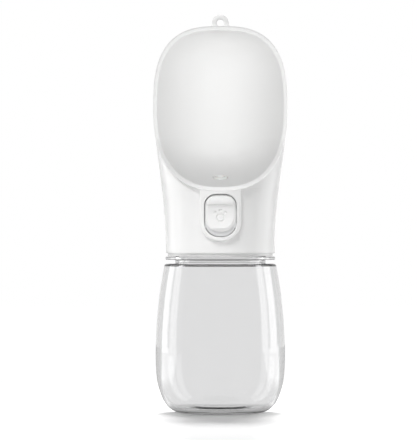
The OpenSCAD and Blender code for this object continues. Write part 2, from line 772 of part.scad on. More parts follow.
// Half of one row, from the edge at the front round to the middle of the back.
function half_row(z) = let(w = shell_half(z), k = shell_back(z), lost = 1 - pow(edge_half(z) / w, 2),
        y0 = min(edge_y, edge_depth(z)))
    concat([for (i = [0:front_steps]) let(c = cos(90 * i / front_steps))
            [z > sweep_z ? w : w * sqrt(1 - c * c * lost), y0 * c]],
        [for (i = [1:back_steps / 2]) let(a = 180 * i / back_steps) [w * cos(a), k * sin(a)]]);

// A whole row, from the right edge to the left, at a distance inside the outer face.
function shell_row(z, inset) = let(h = half_row(z), w = shell_half(z), k = shell_back(z),
        drop = z > widest_z ? inset * (z - widest_z) / rim_up : 0)
    concat([for (p = h) [p[0] * (w - inset) / w, p[1] * (k - inset) / k, z - drop]],
        [for (i = [len(h) - 2:-1:0]) [-h[i][0] * (w - inset) / w, h[i][1] * (k - inset) / k, z - drop]]);

// The rear wall of the head, open at the front. Its rows are joined outside, inside and at the edge.
module back_wall() {
    m = len(row_heights);
    n = len(shell_row(split_z, 0));
    inner = m * n;
    rows_out = [for (z = row_heights) shell_row(z, 0)];
    rows_in = [for (z = row_heights) shell_row(z, shell_wall - 2 * seam)];
    tip_out = (rows_out[m - 1][0] + rows_out[m - 1][n - 1]) / 2;
    tip_in = (rows_in[m - 1][0] + rows_in[m - 1][n - 1]) / 2;
    points = concat([for (row = rows_out) each row], [for (row = rows_in) each row], [tip_out, tip_in]);
    outside = [for (i = [0:m - 2], j = [0:n - 2]) each let(a = i * n + j)
        [[a, a + n, a + n + 1], [a, a + n + 1, a + 1]]];
    inside = [for (f = outside) [f[2] + inner, f[1] + inner, f[0] + inner]];
    foot = [for (j = [0:n - 2]) each [[j, j + 1, j + 1 + inner], [j, j + 1 + inner, j + inner]]];
    right = [for (i = [0:m - 2]) each let(a = i * n)
        [[a, a + inner, a + n + inner], [a, a + n + inner, a + n]]];
    left = [for (i = [0:m - 2]) each let(a = i * n + n - 1)
        [[a, a + n, a + n + inner], [a, a + n + inner, a + inner]]];
    first = (m - 1) * n;
    last = m * n - 1;
    tip = 2 * inner;
    top = concat([for (j = [first:last - 1]) [tip, j + 1, j]],
        [for (j = [first:last - 1]) [tip + 1, j + inner, j + 1 + inner]],
        [[first, first + inner, tip + 1], [first, tip + 1, tip],
            [last, tip, tip + 1], [last, tip + 1, last + inner]]);
    polyhedron(points, concat(outside, inside, foot, right, left, top), convexity = 6);
}

// Places its children at the screws that join the shell to the threaded cap.
module at_shell_screws() {
    for (a = shell_screw_angles) rotate([0, 0, a]) translate([shell_screw_ring, 0, 0]) children();
}

ledge_t = 2;
ledge_reach = 4.8;
ledge_brace = 3;
foot_cut = 0.5;
ledge_z = rear_wall_top + touch_gap;
lug_lift = 0.2;
lug_z = head_top_z - shell_inset + lanyard_hole_d / 2 + lug_lift;
lug_flare = 1.2;
lug_sink = 1.6;
lug_r = lanyard_hole_d / 2 + lanyard_wall;

// The collar: a turned wall with an inner ledge, cut through for the button.
module collar_wall() {
    rows = [for (i = [0:8]) collar_z + (split_z - collar_z) * i / 8];
    window_gap = 0.4;
    difference() {
        rotate_extrude($fn = 128) polygon(concat(
            [[shell_bore_r, collar_z], [collar_d / 2 - foot_cut, collar_z]],
            [[flare(collar_z + foot_cut), collar_z + foot_cut]],
            [for (i = [1:8]) [flare(rows[i]), rows[i]]],
            [[flare(split_z) - shell_wall, split_z], [shell_bore_r, ledge_z + ledge_t + ledge_brace],
                [shell_bore_r, ledge_z + ledge_t], [sleeve_r - ledge_reach, ledge_z + ledge_t],
                [sleeve_r - ledge_reach, ledge_z], [shell_bore_r, ledge_z]]));
        along_y(-half_w, -sleeve_r + 3 * shell_wall, slot_z - window_gap)
            round_rect(slot_w + 2 * window_gap, slot_h + 2 * window_gap, slot_corner + window_gap);
        translate([-front_gap / 2 - slide_gap, 2 * eps - shell_bore_r, ledge_z - 1])
            cube([front_gap + 2 * slide_gap, front_gap, ledge_t + ledge_brace]);
        at_shell_screws() translate([0, 0, ledge_z - 1]) cylinder(r = screw_r + touch_gap, h = ledge_t + 2);
    }
}

// The lug at the top, with its lanyard hole.
module lanyard_lug() {
    difference() {
        union() {
            rod_y(lug_r, -lanyard_t / 2, lanyard_t / 2, lug_z);
            along_y(-lanyard_t / 2, lanyard_t / 2) polygon([[-lug_r - lug_flare, head_top_z - lug_sink],
                [lug_r + lug_flare, head_top_z - lug_sink], [lug_r + 0.3 * lug_flare, head_top_z],
                [lug_r, lug_z], [-lug_r, lug_z], [-lug_r - 0.3 * lug_flare, head_top_z]]);
        }
        rod_y(lanyard_hole_d / 2, -lanyard_t, lanyard_t, lug_z);
    }
}

module head_shell() {
    color([0.96, 0.96, 0.96]) {
        collar_wall();
        back_wall();
        lanyard_lug();
    }
}

module shell_screws() {
    color([0.75, 0.76, 0.78]) at_shell_screws() {
        translate([0, 0, deck_top - pilot_depth + part_gap])
            cylinder(r = screw_r - touch_gap, h = ledge_z + ledge_t - deck_top + pilot_depth - slide_gap);
        translate([0, 0, ledge_z + ledge_t]) cylinder(r = screw_head_r, h = screw_head_h);
    }
}

// ---------------------------------------------------------------- the part

bottle();
neck_seal();
threaded_cap();
housing_gasket();
valve_housing();
housing_screws();
rod_oring();
rod_gland();
button_carrier();
button_cap();
cap_clip();
rocker_lever();
lever_pin();
valve_stem();
valve_plug();
valve_spring();
spring_retainer();
outlet_seal();
bowl();
head_shell();
shell_screws();
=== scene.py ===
import json
import math

import bmesh
import bpy
import numpy as np
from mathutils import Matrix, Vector


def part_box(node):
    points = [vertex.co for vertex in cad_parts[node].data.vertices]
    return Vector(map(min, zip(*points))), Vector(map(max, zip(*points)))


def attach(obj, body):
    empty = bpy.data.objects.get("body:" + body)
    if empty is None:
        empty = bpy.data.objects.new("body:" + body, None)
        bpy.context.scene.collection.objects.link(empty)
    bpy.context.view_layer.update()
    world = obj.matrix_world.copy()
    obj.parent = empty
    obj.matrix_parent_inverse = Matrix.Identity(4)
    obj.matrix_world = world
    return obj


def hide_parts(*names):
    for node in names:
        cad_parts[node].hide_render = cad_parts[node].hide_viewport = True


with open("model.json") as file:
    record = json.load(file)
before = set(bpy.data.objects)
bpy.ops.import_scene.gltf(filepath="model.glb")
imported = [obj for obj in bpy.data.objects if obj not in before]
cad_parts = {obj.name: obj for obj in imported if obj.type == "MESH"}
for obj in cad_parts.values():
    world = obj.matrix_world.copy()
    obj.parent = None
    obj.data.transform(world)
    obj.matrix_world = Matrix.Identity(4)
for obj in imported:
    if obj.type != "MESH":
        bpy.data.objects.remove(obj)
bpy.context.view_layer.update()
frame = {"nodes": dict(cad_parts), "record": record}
mm = 0.001

# ---------------------------------------------------------------- camera
# A long lens, level with the middle of the bottle and a little to the left of its axis. At the
# bottle's distance the picture is as tall as the view height.
camera_distance = 2.5
view_middle = Vector((-6.4 * mm, 0, 104.4 * mm))
view_height = 238.3 * mm
sensor = 36

camera_data = bpy.data.cameras.new("camera")
camera_data.sensor_width = sensor
camera_data.lens = sensor * camera_distance / view_height
camera_data.clip_end = 50
camera = bpy.data.objects.new("camera", camera_data)
camera.location = view_middle + Vector((0, -camera_distance, 0))
camera.rotation_euler = (math.radians(90), 0, 0)
bpy.context.scene.collection.objects.link(camera)
bpy.context.scene.camera = camera
bpy.context.scene.view_settings.view_transform = "Standard"

# ---------------------------------------------------------------- bottle
# A clear copolyester bottle, stretch blown in one piece: a pushed-in base, a full belly that
# narrows to a round shoulder, a flange, and a neck with its screw thread.
bottle_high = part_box("bottle")[1]
bottle_r = bottle_high.x / mm
belly_z = 32
belly_power = 2.55
base_r = 19
foot_in = 2.6
foot_round = 1.2
punt_in = 5
punt_h = 1.6
punt_fall = 0.2
shoulder_r = 30.2
shoulder_z = 80.8
shoulder_round = 1.4
bottle_wall = 1.6
neck_r = 24.5
neck_top = bottle_high.z / mm
neck_fillet = 0.6
lip_round = 0.4
flange_r = 29.7
flange_z = 83
flange_t = 1.6
flange_fillet = 0.3
thread_lead = 4
thread_turns = 1.25
thread_depth = 1.2
thread_root_h = 1.9
thread_crest_h = 0.8
thread_taper = 40
thread_z = flange_z + flange_t + 3.8
clear_tint = (0.866, 0.866, 0.868)
clear_rough = 0.015


def oval(share, power):
    """Half width of a superellipse: (1 - |share| to the power) to the power's root."""
    return np.maximum(0, 1 - np.abs(share) ** power) ** (1 / power)


def arc(centre, radius, start, end, count):
    """Points on a circle in (radius, height), from one angle to another, in degrees."""
    angles = np.radians(np.linspace(start, end, count))
    return np.stack([centre[0] + radius * np.cos(angles), centre[1] + radius * np.sin(angles)], axis=1)


def line(first, last, count=2):
    """Evenly spaced points from the first point to the last."""
    share = np.linspace(0, 1, count)[:, None]
    return np.array(first) * (1 - share) + np.array(last) * share


def turned(profile, segments):
    """A lathe form: each profile point (radius, height) is swept round Z, radius * (cos a, sin a)."""
    angles = 2 * np.pi * np.arange(segments) / segments
    radius, height = profile[:, 0][:, None], profile[:, 1][:, None]
    return np.stack([radius * np.cos(angles), radius * np.sin(angles), height + 0 * angles], axis=2)


def patch(points, closed=False, round_rows=False):
    """The corners and faces of one grid of points, where each cell between four points is a face.

    A closed row joins its own start, and with round_rows the last row joins the first."""
    rows, columns = points.shape[:2]
    here = np.arange(rows if round_rows else rows - 1)[:, None]
    side = np.arange(columns if closed else columns - 1)[None, :]
    right, above = (side + 1) % columns, (here + 1) % rows
    corners = [here * columns + side, here * columns + right, above * columns + right, above * columns + side]
    faces = np.stack([np.broadcast_to(c, (here.size, side.size)) for c in corners], axis=2).reshape(-1, 4)
    return points.reshape(-1, 3), faces


def joined(name, patches, sharp=40):
    """One smooth piece from grids in millimetres. Shared borders are merged, and its faces point outward."""
    spots, faces = zip(*patches)
    starts = np.cumsum([0] + [len(points) for points in spots])
    mesh = bpy.data.meshes.new(name)
    mesh.from_pydata(np.concatenate(spots) * mm, [],
                     np.concatenate([cells + start for cells, start in zip(faces, starts)]).tolist())
    work = bmesh.new()
    work.from_mesh(mesh)
    bmesh.ops.remove_doubles(work, verts=work.verts, dist=1e-6)
    bmesh.ops.dissolve_degenerate(work, edges=work.edges, dist=1e-7)
    bmesh.ops.recalc_face_normals(work, faces=work.faces)
    work.to_mesh(mesh)
    work.free()
    mesh.shade_smooth()
    mesh.set_sharp_from_angle(angle=math.radians(sharp))
    piece = bpy.data.objects.new(name, mesh)
    bpy.context.scene.collection.objects.link(piece)
    return piece


def surface(name, points, round_rows=False, sharp=40):
    """A piece from one grid whose rows are closed rings. A row that shrinks to a point closes as a pole."""
    return joined(name, [patch(points, True, round_rows)], sharp)


class Value:
    """A number that varies over a surface. Operators on it add Math nodes to its material."""

    def __init__(self, tree, socket):
        self.tree, self.socket = tree, socket

    def maths(self, operation, first, second=0.0):
        return node(self.tree, "ShaderNodeMath", {"operation": operation}, {0: first, 1: second})

    def __add__(self, other):
        return self.maths("ADD", self, other)

    def __sub__(self, other):
        return self.maths("SUBTRACT", self, other)

    def __rsub__(self, other):
        return self.maths("SUBTRACT", other, self)

    def __mul__(self, other):
        return self.maths("MULTIPLY", self, other)

    def __truediv__(self, other):
        return self.maths("DIVIDE", self, other)

    __radd__ = __add__
    __rmul__ = __mul__


def node(tree, kind, settings, sockets, output=0):
    """Adds one node: its settings first, then the values or links of its sockets."""
    made = tree.nodes.new(kind)
    for name, setting in settings.items():
        setattr(made, name, setting)
    for name, value in sockets.items():
        if isinstance(value, Value):
            tree.links.new(value.socket, made.inputs[name])
        else:
            made.inputs[name].default_value = value
    return Value(tree, made.outputs[output])


def finish_material(name, **settings):
    """A material with one Principled shader. Returns the material, its tree and the shader node."""
    material = bpy.data.materials.new(name)
    material.use_nodes = True
    shader = material.node_tree.nodes["Principled BSDF"]
    for socket, value in settings.items():
        shader.inputs[socket.replace("_", " ")].default_value = value
    return material, material.node_tree, shader


def feed(tree, shader, socket, value):
    """Links a varying value to one of the shader's sockets."""
    tree.links.new(value.socket, shader.inputs[socket])


def place(tree):
    """Where a point lies on its object, in metres."""
    return node(tree, "ShaderNodeTexCoord", {}, {}, "Object")


def noise(tree, size, detail=2.0, rough=0.5):
    """Soft noise whose blotches are about size millimetres across."""
    return node(tree, "ShaderNodeTexNoise", {}, {"Vector": place(tree), "Scale": 1 / (size * mm),
                                                 "Detail": detail, "Roughness": rough}, "Fac")


def bump(tree, shader, height, depth):
    """Raises the surface by height, depth millimetres at its full value."""
    feed(tree, shader, "Normal", node(tree, "ShaderNodeBump", {}, {"Height": height, "Distance": depth * mm},
                                      "Normal"))


def side_radius(z):
    """Radius of the bottle's side: a superellipse below the belly, a falling parabola above it."""
    low = base_r + (bottle_r - base_r) * oval(1 - np.minimum(z, belly_z) / belly_z, belly_power)
    high = bottle_r - (bottle_r - shoulder_r) * (np.maximum(z - belly_z, 0) / (shoulder_z - belly_z)) ** 2
    return np.where(z < belly_z, low, high)


def offset(profile, distance):
    """A profile moved sideways by a distance, along the normals of its own points."""
    run = np.gradient(profile, axis=0)
    run /= np.linalg.norm(run, axis=1)[:, None]
    return profile + distance * np.stack([-run[:, 1], run[:, 0]], axis=1)


def bottle_side():
    """The outer face from the foot to the top of the shoulder."""
    low = belly_z * (1 - np.cos(np.radians(np.linspace(0, 90, 40))))
    high = np.linspace(belly_z, shoulder_z - shoulder_round, 30)[1:]
    heights = np.concatenate([low, high])
    side = np.stack([side_radius(heights), heights], axis=1)
    centre = (side[-1][0] - shoulder_round, shoulder_z - shoulder_round)
    return np.concatenate([side, arc(centre, shoulder_round, 0, 90, 8)[1:]])


def bottle_profile():
    """The whole wall as one closed run: up the outside, over the lip and down the inside."""
    side = bottle_side()
    inner_side = offset(side, bottle_wall)
    inner_side = inner_side[(inner_side[:, 1] > bottle_wall) & (inner_side[:, 0] > neck_r - bottle_wall)]
    inner_neck = neck_r - bottle_wall
    inner_shoulder = shoulder_z - bottle_wall + neck_fillet
    inner_punt = punt_h + bottle_wall
    flange_top = flange_z + flange_t
    return np.concatenate([
        line((0, punt_h), (base_r - punt_in, punt_h - punt_fall), 12),
        arc((base_r - foot_in, foot_round), foot_round, 200, 270, 8),
        line((base_r - 1.6, 0), (base_r - 0.6, 0), 3),
        side[1:],
        line((neck_r + 1, shoulder_z), (neck_r + neck_fillet, shoulder_z)),
        arc((neck_r + neck_fillet, shoulder_z + neck_fillet), neck_fillet, 270, 180, 6)[1:],
        arc((neck_r + lip_round, flange_z - lip_round), lip_round, 180, 90, 5),
        arc((flange_r - lip_round, flange_z + lip_round), lip_round, 270, 360, 6),
        arc((flange_r - lip_round, flange_top - lip_round), lip_round, 0, 90, 6),
        arc((neck_r + flange_fillet, flange_top + flange_fillet), flange_fillet, 270, 180, 5),
        line((neck_r, flange_top + 0.5), (neck_r, neck_top - 0.6), 80),
        arc((neck_r - lip_round, neck_top - lip_round), lip_round, 0, 90, 6),
        arc((inner_neck + lip_round, neck_top - lip_round), lip_round, 90, 180, 6),
        line((inner_neck, neck_top - 1), (inner_neck, inner_shoulder), 12),
        arc((inner_neck + neck_fillet, inner_shoulder), neck_fillet, 180, 260, 5),
        inner_side[::-1],
        line((base_r - 4, bottle_wall), (base_r - 5.4, inner_punt - punt_fall), 4),
        line((base_r - 6, inner_punt - 0.15), (0, inner_punt), 12)])


def thread_height(points):
    """How far the thread stands out at each point: a trapezoid of the height above its helix.

    The helix rises by the lead each turn, and its ends fade out over the taper."""
    angle = np.degrees(np.arctan2(points[..., 1], points[..., 0]))
    best = np.zeros(points.shape[:2])
    for turn in range(int(thread_turns) + 2):
        turned_by = angle % 360 + 360 * turn
        away = np.abs(points[..., 2] - thread_z - thread_lead * turned_by / 360)
        ridge = np.clip((thread_root_h / 2 - away) / (thread_root_h - thread_crest_h) * 2, 0, 1)
        ends = np.clip(np.minimum(turned_by, 360 * thread_turns - turned_by) / thread_taper, 0, 1)
        best = np.maximum(best, ridge * ends)
    return thread_depth * best


profile = bottle_profile()
grid = turned(profile, 256)
on_neck = (np.abs(profile[:, 0] - neck_r) < 0.01)[:, None] & (grid[..., 2] > flange_z + flange_t)
rise = thread_height(grid) * on_neck
grid[..., :2] *= (1 + rise / np.maximum(np.hypot(grid[..., 0], grid[..., 1]), 1))[..., None]
bottle = surface("clear_bottle_body", grid, sharp=50)

clear, tree, shader = finish_material("clear_copolyester", Base_Color=(*clear_tint, 1), Roughness=clear_rough,
                                      IOR=1.5, Transmission_Weight=1.0)
bottle.data.materials.append(clear)
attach(bottle, "bottle")
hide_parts("bottle")

# ---------------------------------------------------------------- head shell
# The rear half of the drinking head, injection moulded in glossy white ABS: a round collar over the
# neck flares into a spoon-shaped back with a lug for a lanyard. Three screws hold it to the threaded
# cap, which screws onto the neck inside it.
half_w = 36.3
collar_r = 29.5
collar_z = 86.3
collar_foot_h = 0.5
widest_z = 165
head_top_z = 209.2
chin_z = 119.9
back_depth = 31
chin_reach = 31
shell_wall = 2
flare_power = 1.2
up_power = 2.8
down_power = 2.45
dome_power = 2.2
sweep_z = 148
sweep_power = 1.4
edge_y = -3
shell_inset = 0.3
lid_rise = 0.2
split_half = 10
rim_up = head_top_z - widest_z
rim_down = widest_z - chin_z
white_abs_colour = (0.90, 0.90, 0.895)


def ease(share):
    """A step with soft ends: 3 share squared less 2 share cubed."""
    return share * share * (3 - 2 * share)


def flare(z):
    """Half width of the head below its widest height: an eased rise from the collar."""
    share = np.clip((z - collar_z) / (widest_z - collar_z), 0, 1) ** flare_power
    return collar_r + (half_w - collar_r) * ease(share)


def rim_half(z):
    """Half width of the rim seen from the front: an upper and a lower superellipse."""
    return half_w * np.where(z > widest_z, oval((z - widest_z) / rim_up, up_power),
                             oval((z - widest_z) / rim_down, down_power))


def rim_depth_line(z):
    """Depth at which the rim meets the shell. It sweeps forward to the chin."""
    share = np.clip((sweep_z - z) / (sweep_z - chin_z), 0, 1)
    return edge_y - (chin_reach + edge_y) * share ** sweep_power


def shell_edge(z):
    """Half width of the shell's front edge: none below the chin, the rim's or the split's above it."""
    return np.where(z > chin_z, np.minimum(0.9995 * shell_half(z), np.maximum(split_half, rim_half(z))), 0)


def shell_half(z):
    """Half width of the shell: the flare below the widest height, just inside the rim above it."""
    low = flare(z) - shell_inset * ease(np.clip((z - chin_z) / (widest_z - chin_z), 0, 1))
    return np.where(z > widest_z, rim_half(z) * (1 - shell_inset / half_w), low)


def shell_back(z):
    """Rear depth of the shell: the flare's radius, eased to the back's depth, then a dome."""
    low = flare(z) + (back_depth - half_w) * ease(np.clip((z - chin_z) / (widest_z - chin_z), 0, 1))
    return np.where(z > widest_z, back_depth * oval((z - widest_z) / rim_up, dome_power), low)


def shell_rows(heights, inset):
    """Rows of the shell from its right edge round the back to its left edge.

    The front part is w sqrt(1 - lost cos^2 a) across and y0 cos a deep, the rear part an ellipse."""
    z = heights[:, None]
    w, k, edge = shell_half(z), shell_back(z), shell_edge(z)
    lost = 1 - (edge / np.maximum(w, 1e-6)) ** 2
    circle = -w * np.sqrt(np.maximum(0, lost))
    deep = np.where(z > chin_z, np.minimum(edge_y, np.maximum(rim_depth_line(z), circle)), circle)
    front = np.cos(np.radians(np.linspace(0, 90, 41)))[None, :]
    x_front = np.where(z > sweep_z, w + 0 * front, w * np.sqrt(np.maximum(0, 1 - front ** 2 * lost)))
    back = np.radians(np.linspace(0, 90, 51))[None, 1:]
    x = np.concatenate([x_front, w * np.cos(back)], axis=1)
    y = np.concatenate([deep * front, k * np.sin(back)], axis=1)
    thin = np.maximum(0, (w - inset) / np.maximum(w, 1e-6))
    thick = np.maximum(0, (k - inset) / np.maximum(k, 1e-6))
    drop = np.where(z > widest_z, inset * (z - widest_z) / rim_up, 0)
    right = np.stack([x * thin, y * np.where(y > 0, thick, thin), z - drop + 0 * x], axis=2)
    left = right[:, -2::-1] * np.array([-1, 1, 1])
    return np.concatenate([right, left], axis=1)


def crowned(rows):
    """The shell's rows and a lid over the last of them.

    The lid's x shrinks to 0 by its share, and it rises by 1 - (1 - share)^2, most at its front."""
    last = rows[-1]
    share = np.linspace(0, 1, 13)[1:, None]
    rise = lid_rise * (1 - (1 - share) ** 2) * np.abs(last[:, 0]) / np.abs(last[:, 0]).max()
    lid = np.stack([last[:, 0] * (1 - share), last[:, 1] + 0 * share, last[:, 2] + rise], axis=2)
    return np.concatenate([rows, lid])


def foot_ring(ring, inset, drop):
    """The collar's lowest outer ring, moved in and down."""
    share = 1 - inset / collar_r
    return ring * [share, share, 1] - [0, 0, drop]


collar_rows = np.linspace(collar_z + collar_foot_h, chin_z, 50)
rim_angles = np.radians(np.linspace(90, 0, 60))[1:]
dome_angles = np.radians(np.linspace(0, 90, 50))[1:]
heights = np.concatenate([collar_rows, widest_z - rim_down * np.sin(rim_angles) ** (2 / down_power),
                          widest_z + (rim_up - shell_inset) * np.sin(dome_angles) ** (2 / up_power)])
outside, inside = crowned(shell_rows(heights, 0)), crowned(shell_rows(heights, shell_wall))
on_rim = outside[:, 0, 2] > chin_z - 0.01
edges = np.stack([outside, inside], axis=1)
right_edge = edges[on_rim][:, :, 0]
left_edge = edges[on_rim][:, :, -1]
foot = np.stack([outside[0], foot_ring(outside[0], 0.25, 0.4), foot_ring(outside[0], 0.6, collar_foot_h),
                 inside[0] - [0, 0, collar_foot_h], inside[0]])
shell = joined("head_shell_moulding",
               [patch(rows) for rows in (outside, inside, right_edge, left_edge, foot)])


def outline(width, low, high, low_corner, high_corner, count=14):
    """A closed loop in X and Z: a rectangle centred on X whose corners are arcs of their own radii."""
    half = width / 2
    low_x, low_z = half - low_corner, low + low_corner
    high_x, high_z = half - high_corner, high - high_corner
    corners = [(low_x, low_z, low_corner, -90), (high_x, high_z, high_corner, 0),
               (-high_x, high_z, high_corner, 90), (-low_x, low_z, low_corner, 180)]
    arcs = [arc((x, z), r, start, start + 90, count) for x, z, r, start in corners]
    loop = []
    for i, points in enumerate(arcs):
        loop += [points, line(points[-1], arcs[(i + 1) % 4][0], count + 1)[1:-1]]
    return np.concatenate(loop)


def cut(piece, cutter):
    """Takes the cutter's solid out of a piece and throws the cutter away."""
    hole = piece.modifiers.new("hole", "BOOLEAN")
    hole.operation, hole.object, hole.solver = "DIFFERENCE", cutter, "EXACT"
    dressed = bpy.data.meshes.new_from_object(piece.evaluated_get(bpy.context.evaluated_depsgraph_get()))
    piece.modifiers.clear()
    piece.data = dressed
    dressed.set_sharp_from_angle(angle=math.radians(40))
    bpy.data.objects.remove(cutter)


def prism(name, loop, front, back):
    """A closed solid that carries a loop in X and Z from a front depth to a rear depth."""
    middle = loop[:, 1].mean()
    rings = [np.stack([loop[:, 0] * share, 0 * loop[:, 0] + depth,
                       middle + (loop[:, 1] - middle) * share], axis=1)
             for share, depth in ((0, front), (1, front), (1, back), (0, back))]
    return surface(name, np.stack(rings))


slot_w = 17.4
slot_h = 23
slot_z = 95.3
slot_low_corner = 7.9
slot_high_corner = 6.3
window_room = 0.4
window_front = -45
window_back = -20
window = outline(slot_w + 2 * window_room, slot_z - window_room, slot_z + slot_h + window_room,
                 slot_low_corner, slot_high_corner)
cut(shell, prism("cutter", window, window_front, window_back))

lug_z = frame["record"]["mounts"][0]["pos_m"][2] / mm
lug_hole_r = 1.95
lug_r = 4.53
lug_t = 3
lug_foot_z = 206.8
lug_flare = 1.2
flare_sine = 0.36
edge_round = 0.8
hole_round_share = 0.4


def lug_sections():
    """Sections of the lug, set round its hole: an arch above, and a foot below that flares to both sides.

    The foot's reach is a superellipse of the sixth power, and each section has rounded edges."""
    turn = np.radians(360 * np.arange(96) / 96)[:, None]
    across, up = np.cos(turn), np.sin(turn)
    foot_w = lug_r + lug_flare * np.minimum(1, np.abs(up) / flare_sine) ** 4
    low_reach = ((np.abs(across) / foot_w) ** 6 + (np.abs(up) / (lug_z - lug_foot_z)) ** 6) ** (-1 / 6)
    reach = np.where(up > 0, lug_r, low_reach)
    tilt = np.radians(np.linspace(0, 90, 6))
    depth = lug_t / 2 - edge_round * (1 - np.cos(tilt))
    inset = edge_round * (1 - np.sin(tilt))
    depths = np.concatenate([-depth, [0], depth[::-1]])
    insets = np.concatenate([inset, [0], inset[::-1]])
    radius = np.concatenate([lug_hole_r + hole_round_share * insets + 0 * reach, reach - insets], axis=1)
    y = np.concatenate([depths, depths[::-1]]) + 0 * reach
    return np.stack([radius * across, y, lug_z + radius * up], axis=2)


lug = surface("lanyard_lug_moulding", lug_sections(), round_rows=True)

white_abs, tree, shader = finish_material("white_abs", Base_Color=(*white_abs_colour, 1), IOR=1.5)
feed(tree, shader, "Roughness", 0.22 + 0.06 * noise(tree, 6))
bump(tree, shader, noise(tree, 1.2, 3.0), 0.004)
for piece in (shell, lug):
    piece.data.materials.append(white_abs)
    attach(piece, "head")
    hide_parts("head_shell")

# ---------------------------------------------------------------- bowl
# The drinking bowl and its rim, one satin white ABS moulding that closes the shell's front: a deep
# rounded back, a floor that slopes to the chin, and the water outlet near the front.
rim_w = 2.4
rim_depth = 3
rim_round = 0.8
rim_seat = 0.05
bowl_wall = 1.8
shell_gap = 0.8
bowl_half = half_w - rim_w
bowl_up = rim_up - rim_w
bowl_down = rim_down - rim_w
lip_z = chin_z + rim_w
lip_y = -chin_reach - rim_depth + rim_round
bowl_back = back_depth - shell_wall - shell_gap - bowl_wall
floor_slope = math.tan(math.radians(14))
floor_round = 24
side_power = 2.3
outlet_y = -14.5
outlet_hole_r = 4.25
outlet_hole_reach = 6
ring_points = 320
satin_colour = (0.88, 0.88, 0.875)


def back_line(z):
    """Depth of the bowl's back on the centre line: straight, then a dome above the widest height."""
    top_y = edge_y - rim_depth + rim_round
    dome = top_y + (bowl_back - top_y) * oval((z - widest_z) / bowl_up, dome_power)
    return np.where(z > widest_z, dome, bowl_back)


def centre_line(z):
    """Depth on the centre line: the back and the sloping floor, blended round their corner."""
    floor = lip_y + floor_round ** 2 / 4 / (bowl_back - lip_y) + (z - lip_z) / floor_slope
    back = back_line(z)
    return (floor + back - np.sqrt((floor - back) ** 2 + floor_round ** 2)) / 2


def bowl_y(x, z):
    """Depth of the bowl's face: the centre line, which comes forward to the rim by the side power."""
    half = bowl_half * np.where(z > widest_z, oval((z - widest_z) / bowl_up, up_power),
                                oval((z - widest_z) / bowl_down, down_power))
    on_rim = np.where(z > widest_z, z, widest_z + (z - widest_z) * rim_down / bowl_down)
    edge = rim_depth_line(on_rim) - rim_depth + rim_round
    share = np.clip(np.abs(x) / np.maximum(half, 0.05), 0, 1)
    middle = centre_line(z)
    return middle + (edge - middle) * share ** side_power


def oval_points(half, up, down):
    """A loop round an egg: its upper and lower halves are superellipses of their own heights and powers."""
    angle = np.radians(360 * np.arange(ring_points) / ring_points)
    power = np.where(np.sin(angle) > 0, up_power, down_power)
    x = half * np.sign(np.cos(angle)) * np.abs(np.cos(angle)) ** (2 / power)
    z = np.where(np.sin(angle) > 0, up, -down) * np.abs(np.sin(angle)) ** (2 / power)
    return np.stack([x, z], axis=1)


def face_ring(share, wall):
    """One ring of the bowl's face, moved back by the wall along the face's own normal."""
    loop = oval_points(bowl_half, bowl_up, bowl_down) * share
    x, z, step = loop[:, 0], widest_z + loop[:, 1], 0.2
    slope_x = (bowl_y(x + step, z) - bowl_y(x - step, z)) / (2 * step)
    slope_z = (bowl_y(x, z + step) - bowl_y(x, z - step)) / (2 * step)
    normal = np.stack([-slope_x, 1 + 0 * x, -slope_z], axis=1)
    normal /= np.linalg.norm(normal, axis=1)[:, None]
    return np.stack([x, bowl_y(x, z), z], axis=1) + wall * normal


def band_ring(inward, forward):
    """One ring of the rim band, so far in from its outer edge and so far forward of the shell."""
    outer = oval_points(half_w, rim_up, rim_down)
    inner = oval_points(bowl_half, bowl_up, bowl_down)
    loop = outer + (inner - outer) * inward / rim_w
    depth = rim_depth_line(widest_z + outer[:, 1]) - forward
    return np.stack([loop[:, 0], depth, widest_z + loop[:, 1]], axis=1)


rounded = rim_depth - rim_round
band = np.concatenate([arc((rim_w - rim_round, rounded), rim_round, 0, 90, 8),
                       line((rim_w / 2, rim_depth), (rim_round, rim_depth), 3),
                       arc((rim_round, rounded), rim_round, 90, 180, 8)[1:],
                       line((0, 1.2), (0, rim_seat), 3), line((0.3, rim_seat), (0.92 * rim_w, rim_seat), 3)])
face_shares = np.sin(np.radians(np.linspace(0, 90, 70)))[:-1]
back_shares = np.linspace(0.93, 0, 30)
rings = [face_ring(share, 0) for share in face_shares] + [band_ring(*point) for point in band] \
    + [face_ring(share, bowl_wall) for share in back_shares]
bowl = surface("bowl_moulding", np.stack(rings))

outlet_z = lip_z + (outlet_y - lip_y) * floor_slope
hole = turned(np.array([(0, -outlet_hole_reach), (outlet_hole_r, -outlet_hole_reach),
                        (outlet_hole_r, outlet_hole_reach), (0, outlet_hole_reach)]), 48)
cut(bowl, surface("cutter", hole + [0, outlet_y, outlet_z]))

satin, tree, shader = finish_material("satin_abs", Base_Color=(*satin_colour, 1), IOR=1.5)
feed(tree, shader, "Roughness", 0.38 + 0.06 * noise(tree, 5))
bump(tree, shader, noise(tree, 0.5, 2.0), 0.006)
bowl.data.materials.append(satin)
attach(bowl, "head")
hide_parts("bowl")

# ---------------------------------------------------------------- bezel
# The tongue below the chin that frames the button, moulded with the bowl and polished like the shell.
# Its face follows the collar's curve, and its slot is taller than the button, which slides down in it.
bezel_wall = 2.4
bezel_proud = 2.3
bezel_corner = slot_low_corner + bezel_wall
bezel_high_corner = 1.5
bezel_round = 0.9
slot_round = 0.28
slot_depth = 6.5
bezel_top = chin_z + 1.4


def bezel_ring(loop, back):
    """A loop laid on the bezel's face, a turned surface proud of the collar, and moved back by a depth."""
    reach = flare(loop[:, 1]) + bezel_proud
    return np.stack([loop[:, 0], -np.sqrt(reach ** 2 - loop[:, 0] ** 2) + back, loop[:, 1]], axis=1)


